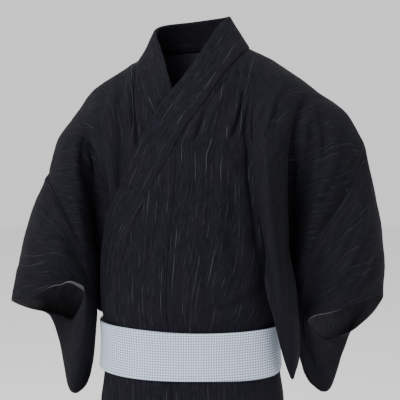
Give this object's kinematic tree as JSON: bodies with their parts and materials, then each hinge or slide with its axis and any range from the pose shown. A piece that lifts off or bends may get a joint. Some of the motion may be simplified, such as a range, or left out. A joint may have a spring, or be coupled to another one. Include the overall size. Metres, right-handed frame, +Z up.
{
  "type": "cotton yukata robe",
  "caption": "Men's cotton yukata robe worn closed, left front over right, with hanging sleeves and a flat woven obi tied at the back.",
  "frame": {"origin": "between the shoulders at the height of the neck seam, where a neck and shoulders hold the robe up", "axes": "+Z up, -Y out of the front, +X towards the wearer's left"},
  "size_m": [0.7731, 0.3406, 1.4123],
  "materials": {
    "dark_cotton": "matt slubbed cotton with thin broken pale stripes",
    "obi_weave": "firm pale blue-grey weave with small dark dots"
  },
  "bodies": {
    "root": {"body_left": "dark_cotton", "body_left_fold": "dark_cotton", "body_right": "dark_cotton", "okumi_left": "dark_cotton", "okumi_right": "dark_cotton", "sleeve_left": "dark_cotton", "sleeve_right": "dark_cotton", "collar_band": "dark_cotton", "over_collar": "dark_cotton", "obi": "obi_weave", "obi_knot": "obi_weave", "obi_knot_end": "obi_weave"}
  },
  "joints": []
}
